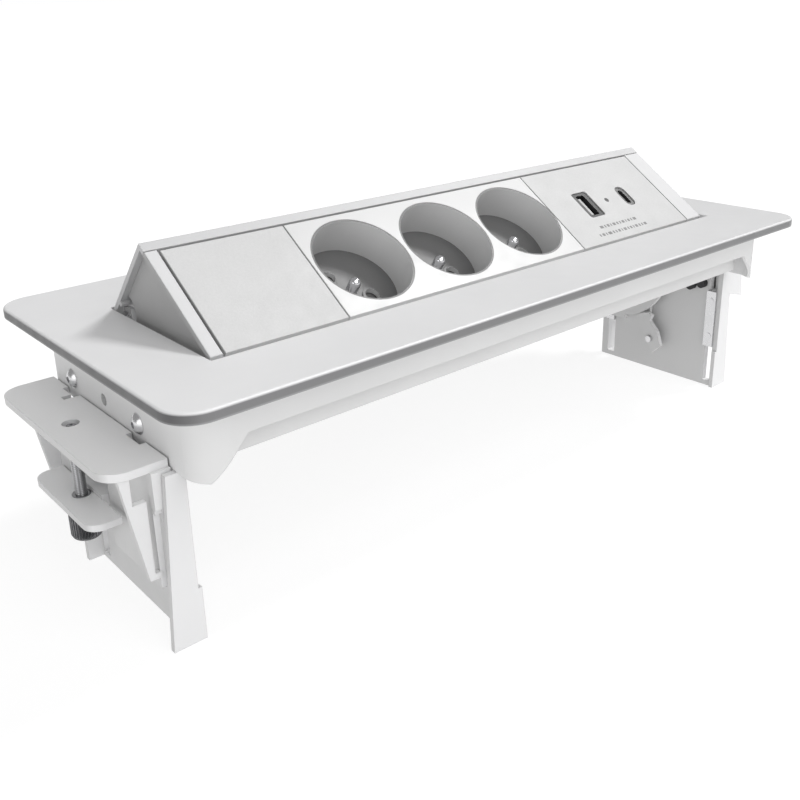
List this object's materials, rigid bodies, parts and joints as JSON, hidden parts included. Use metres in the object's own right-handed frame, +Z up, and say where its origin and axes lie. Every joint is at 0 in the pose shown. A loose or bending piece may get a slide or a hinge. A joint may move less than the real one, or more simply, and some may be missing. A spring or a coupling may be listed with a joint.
{
  "type": "flip-up desk power unit",
  "caption": "White flip-up power unit for a desk cut-out: flat frame, turning triangular module with round sockets and USB ports, and a slotted screw-clamp bracket at each end.",
  "frame": {"origin": "middle of the overall box, on the plane of the clamp brackets' feet", "axes": "+X along the unit towards the USB end, +Y to the lid side, +Z up out of the desk"},
  "size_m": [0.372, 0.15, 0.13],
  "materials": {
    "frame_paint": "satin white powder coat",
    "housing_plastic": "fine-textured white moulding",
    "clamp_plastic": "white glass-filled moulding",
    "fascia_plastic": "semi-gloss white moulding",
    "well_plastic": "grey moulding",
    "plated_pin": "bright nickel plate",
    "brass_contact": "rolled brass",
    "zinc_screw": "zinc plate",
    "screw_steel": "turned steel",
    "knob_black": "blackened knurled steel",
    "port_black": "black moulding",
    "tongue_white": "white moulding",
    "board_green": "solder mask",
    "rubber_black": "soft rubber"
  },
  "bodies": {
    "housing": {"top_frame": "frame_paint", "housing": "housing_plastic", "inner_liner": "housing_plastic", "housing_screws": "zinc_screw", "frame_screws": "zinc_screw", "bump_stops": "rubber_black", "latch_pin": "zinc_screw", "pivot_pins": "zinc_screw", "pivot_washers": "port_black", "bracket_left": "clamp_plastic", "bracket_right": "clamp_plastic"},
    "module": {"module_profile": "frame_paint", "end_cap_left": "housing_plastic", "end_cap_right": "housing_plastic", "end_disc_left": "clamp_plastic", "end_disc_right": "clamp_plastic", "disc_spacers": "zinc_screw", "hub_screws": "zinc_screw", "cap_screws": "zinc_screw", "blank_panel": "frame_paint", "socket_fascia": "fascia_plastic", "usb_panel": "frame_paint", "socket_well_1": "well_plastic", "socket_well_2": "well_plastic", "socket_well_3": "well_plastic", "earth_pin_1": "plated_pin", "earth_pin_2": "plated_pin", "earth_pin_3": "plated_pin", "contact_set_1": "brass_contact", "contact_set_2": "brass_contact", "contact_set_3": "brass_contact", "busbars": "brass_contact", "usb_a_shell": "port_black", "usb_a_tongue": "tongue_white", "usb_c_shell": "port_black", "usb_c_tongue": "port_black", "usb_board": "board_green", "status_lens": "port_black", "terminal_block": "port_black", "cable_gland": "port_black"},
    "latch": {"latch_lever": "clamp_plastic"},
    "shutter_1": {"shutter_1": "tongue_white"},
    "shutter_2": {"shutter_2": "tongue_white"},
    "shutter_3": {"shutter_3": "tongue_white"},
    "jaw_left": {"jaw_left": "clamp_plastic", "jaw_nut_left": "screw_steel"},
    "slider_left": {"slider_left": "clamp_plastic", "guide_screws_left": "zinc_screw"},
    "screw_left": {"clamp_screw_left": "screw_steel", "clamp_knob_left": "knob_black"},
    "jaw_right": {"jaw_right": "clamp_plastic", "jaw_nut_right": "screw_steel"},
    "slider_right": {"slider_right": "clamp_plastic", "guide_screws_right": "zinc_screw"},
    "screw_right": {"clamp_screw_right": "screw_steel", "clamp_knob_right": "knob_black"}
  },
  "joints": [
    {"name": "module_flip", "type": "hinge", "parent": "housing", "child": "module", "pos_m": [0, 0.018, 0.0621], "axis": [1, 0, 0], "range_deg": [0, 47.17]},
    {"name": "latch_release", "type": "hinge", "parent": "housing", "child": "latch", "pos_m": [0.1546, -0.0055, 0.0204], "axis": [1, 0, 0], "range_deg": [0, 12], "stiffness_Nm_per_rad": 0.02},
    {"name": "shutter_1_slide", "type": "slide", "parent": "module", "child": "shutter_1", "axis": [0.7071, 0.5834, 0.3995], "range_m": [0, 0.0066], "stiffness_N_per_m": 60},
    {"name": "shutter_2_slide", "type": "slide", "parent": "module", "child": "shutter_2", "axis": [0.7071, 0.5834, 0.3995], "range_m": [0, 0.0066], "stiffness_N_per_m": 60},
    {"name": "shutter_3_slide", "type": "slide", "parent": "module", "child": "shutter_3", "axis": [0.7071, 0.5834, 0.3995], "range_m": [0, 0.0066], "stiffness_N_per_m": 60},
    {"name": "clamp_height_left", "type": "slide", "parent": "housing", "child": "jaw_left", "axis": [0, 0, 1], "range_m": [-0.009, 0.004]},
    {"name": "clamp_feed_left", "type": "slide", "parent": "jaw_left", "child": "slider_left", "axis": [0, 0, 1], "range_m": [-0.00995, 0.00095]},
    {"name": "clamp_turn_left", "type": "hinge", "parent": "slider_left", "child": "screw_left", "pos_m": [-0.1765, 0.008, 0.038], "axis": [0, 0, 1], "range_deg": [-3600, 360]},
    {"name": "clamp_height_right", "type": "slide", "parent": "housing", "child": "jaw_right", "axis": [0, 0, 1], "range_m": [-0.009, 0.004]},
    {"name": "clamp_feed_right", "type": "slide", "parent": "jaw_right", "child": "slider_right", "axis": [0, 0, 1], "range_m": [-0.00995, 0.00095]},
    {"name": "clamp_turn_right", "type": "hinge", "parent": "slider_right", "child": "screw_right", "pos_m": [0.1765, 0.008, 0.038], "axis": [0, 0, 1], "range_deg": [-3600, 360]}
  ],
  "couplings": [
    {"joint": "clamp_turn_left", "follows": "clamp_feed_left", "rad_per_m": 6283.2},
    {"joint": "clamp_turn_right", "follows": "clamp_feed_right", "rad_per_m": 6283.2}
  ]
}
